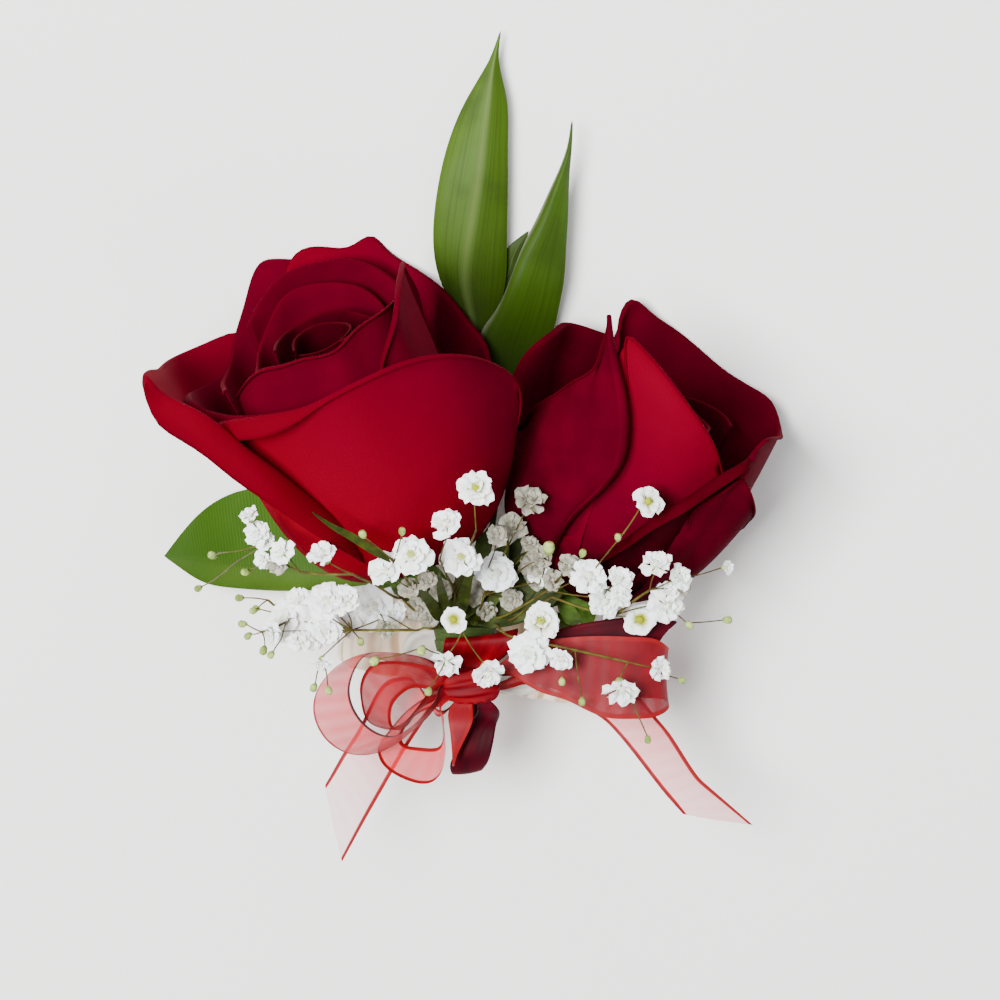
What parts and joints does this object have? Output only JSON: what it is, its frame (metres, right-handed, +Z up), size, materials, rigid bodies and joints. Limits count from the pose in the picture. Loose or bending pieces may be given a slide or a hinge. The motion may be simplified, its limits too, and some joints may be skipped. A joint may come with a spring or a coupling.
{
  "type": "wrist corsage",
  "caption": "Wrist corsage: red roses, leaves, sprays of small white flowers and a sheer red ribbon bow, bound to a ruched elastic wristlet.",
  "frame": {"origin": "on the surface it lies on, under the middle of the wristlet", "axes": "+X to the right as the corsage is seen from the front, +Y from the bow to the tip of the tall leaf, +Z up from the surface, out of the flowers"},
  "size_m": [0.13, 0.1648, 0.0773],
  "materials": {
    "rose_petal": "soft velvety petals",
    "rose_green": "matt green sepals and stem",
    "stem_tape": "matt waxed florist tape",
    "leaf": "waxy leaf",
    "small_flower": "matt white petals on green stems",
    "sheer_ribbon": "sheer organza with woven edges",
    "satin_ribbon": "satin",
    "wristlet_satin": "ruched satin over elastic",
    "plate_plastic": "matt moulded plastic"
  },
  "bodies": {
    "root": {"rose_left_bloom": "rose_petal", "rose_right_bloom": "rose_petal", "rose_left_calyx": "rose_green", "rose_right_calyx": "rose_green", "stem_binding": "stem_tape", "bow_knot": "satin_ribbon", "leaf_tall": "leaf", "leaf_folded": "leaf", "leaf_behind": "leaf", "leaf_broad": "leaf", "bow_loop_left": "sheer_ribbon", "bow_loop_left_inner": "sheer_ribbon", "bow_loop_low": "sheer_ribbon", "bow_loop_point": "sheer_ribbon", "bow_loop_right": "sheer_ribbon", "bow_tail_left": "sheer_ribbon", "bow_tail_right": "sheer_ribbon", "satin_loop_low": "satin_ribbon", "satin_loop_upper": "satin_ribbon", "satin_loop_right": "satin_ribbon", "spray_left_low": "small_flower", "spray_left": "small_flower", "spray_left_up": "small_flower", "spray_up": "small_flower", "spray_up_right": "small_flower", "spray_right_up": "small_flower", "spray_right": "small_flower", "spray_right_low": "small_flower", "spray_front": "small_flower", "wristlet_band": "wristlet_satin", "wristlet_plate": "plate_plastic"}
  },
  "joints": []
}
